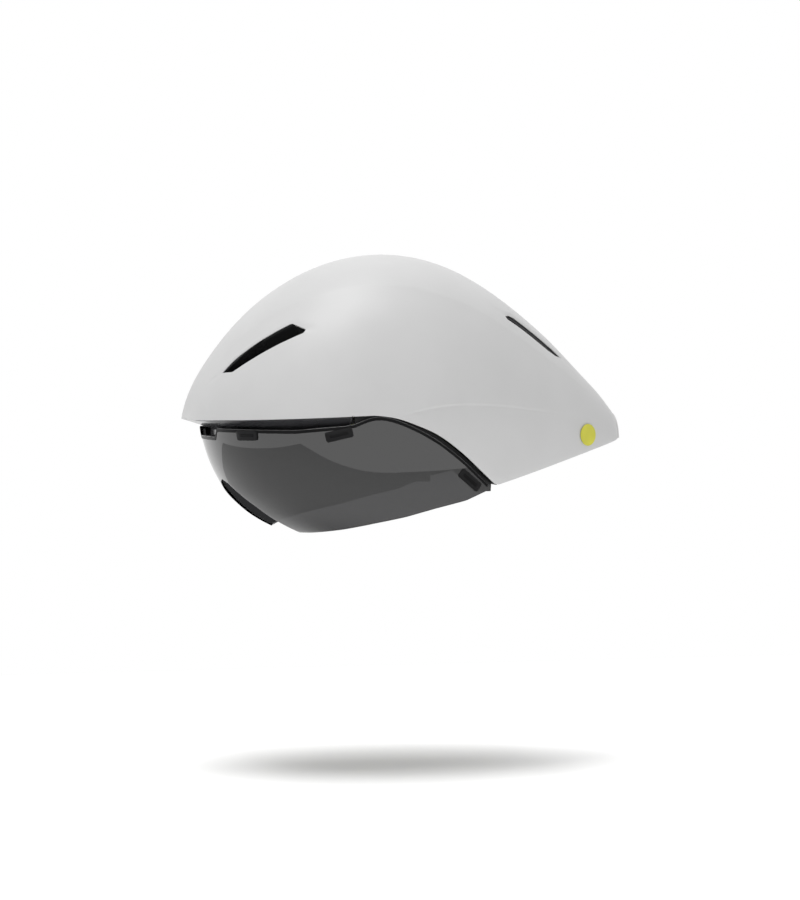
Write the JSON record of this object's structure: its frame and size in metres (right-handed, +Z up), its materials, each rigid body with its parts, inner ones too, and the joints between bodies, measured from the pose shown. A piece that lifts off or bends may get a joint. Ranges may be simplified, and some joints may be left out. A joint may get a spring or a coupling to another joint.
{
  "type": "aero time trial helmet",
  "caption": "Smooth teardrop cycling helmet with wraparound magnetic shield, foam liner, slip liner, dial fit cradle and buckled chin straps",
  "frame": {"origin": "on the middle plane, on the level of the brow edge, at the centre of the head opening's plan", "axes": "front faces -Y, up is +Z, the wearer's left is +X"},
  "size_m": [0.2106, 0.3146, 0.1946],
  "materials": {
    "shell_paint": "gloss white paint on moulded polycarbonate",
    "foam": "black expanded polystyrene",
    "black_gloss": "gloss black moulded plastic",
    "black_matte": "matt black moulded plastic",
    "pad_grey": "satin dark grey plastic",
    "magnet": "nickel plated bar magnet",
    "yellow": "plain yellow vinyl disc",
    "smoke": "smoke grey polycarbonate lens",
    "liner": "satin low friction plastic sheet",
    "pad_fabric": "brushed knit over foam",
    "webbing": "woven polyester webbing",
    "elastomer": "soft elastomer",
    "screw": "zinc plated steel",
    "flex": "flexible nylon"
  },
  "bodies": {
    "helmet": {"outer_shell": "shell_paint", "eps_liner": "foam", "brow_bezel": "black_gloss", "arch_trim_left": "black_matte", "arch_trim_right": "black_matte", "front_vent_duct_left": "black_matte", "front_vent_duct_right": "black_matte", "rear_vent_duct_left": "black_matte", "rear_vent_duct_right": "black_matte", "magnet_seats": "pad_grey", "helmet_magnets": "magnet", "rear_disc": "yellow", "slip_anchors": "elastomer", "strap_anchors": "black_matte", "front_strap_left": "webbing", "front_strap_right": "webbing", "rear_strap_left": "webbing", "rear_strap_right": "webbing", "strap_divider_left": "black_matte", "strap_divider_right": "black_matte", "chin_strap_left": "webbing", "chin_strap_right": "webbing", "strap_keeper": "elastomer", "buckle_female": "black_matte", "temple_anchor_left": "black_matte", "temple_anchor_right": "black_matte", "fit_band_left": "flex", "fit_band_right": "flex", "stem_guide": "black_matte"},
    "shield": {"shield_lens": "smoke", "shield_magnet_holders": "pad_grey", "shield_magnets": "magnet"},
    "head_liner": {"slip_liner": "liner", "brow_pad": "pad_fabric", "crown_pad": "pad_fabric", "side_pad_left": "pad_fabric", "side_pad_right": "pad_fabric"},
    "carrier": {"height_stem": "flex", "flex_arm": "flex"},
    "cradle": {"occipital_cradle": "flex", "cradle_pad_left": "pad_fabric", "cradle_pad_right": "pad_fabric", "housing_front": "black_matte", "housing_rear": "black_matte", "housing_screws": "screw"},
    "dial": {"dial_pinion": "flex", "dial_knob": "black_matte", "dial_screw": "screw"},
    "left_rack": {"rack_left": "flex"},
    "right_rack": {"rack_right": "flex"},
    "buckle": {"buckle_male": "black_matte"}
  },
  "joints": [
    {"name": "shield_pull", "type": "slide", "parent": "helmet", "child": "shield", "axis": [0, -0.7071, -0.7071], "range_m": [0, 0.06]},
    {"name": "liner_slip", "type": "hinge", "parent": "helmet", "child": "head_liner", "pos_m": [0, 0.005, 0], "axis": [0, 0, 1], "range_deg": [-2.5, 2.5], "deforming": ["slip_anchors"]},
    {"name": "cradle_height", "type": "slide", "parent": "helmet", "child": "carrier", "axis": [0, 0, 1], "range_m": [-0.01, 0], "deforming": ["fit_band_left", "fit_band_right"]},
    {"name": "cradle_fit", "type": "slide", "parent": "carrier", "child": "cradle", "axis": [0, -1, 0], "range_m": [0, 0.01], "deforming": ["fit_band_left", "fit_band_right", "flex_arm"]},
    {"name": "dial_turn", "type": "hinge", "parent": "cradle", "child": "dial", "pos_m": [0, 0.106, -0.0235], "axis": [0, -1, 0], "range_deg": [0, 143.3]},
    {"name": "rack_left_slide", "type": "slide", "parent": "cradle", "child": "left_rack", "axis": [-1, 0, 0], "range_m": [0, 0.01], "deforming": ["fit_band_left"]},
    {"name": "rack_right_slide", "type": "slide", "parent": "cradle", "child": "right_rack", "axis": [1, 0, 0], "range_m": [0, 0.01], "deforming": ["fit_band_right"]},
    {"name": "buckle_pull", "type": "slide", "parent": "helmet", "child": "buckle", "axis": [1, 0, 0], "range_m": [0, 0.014], "deforming": ["chin_strap_left"]}
  ],
  "couplings": [
    {"joint": "dial_turn", "follows": "cradle_fit", "rad_per_m": 250},
    {"joint": "rack_left_slide", "follows": "cradle_fit", "ratio": 1},
    {"joint": "rack_right_slide", "follows": "cradle_fit", "ratio": 1}
  ]
}
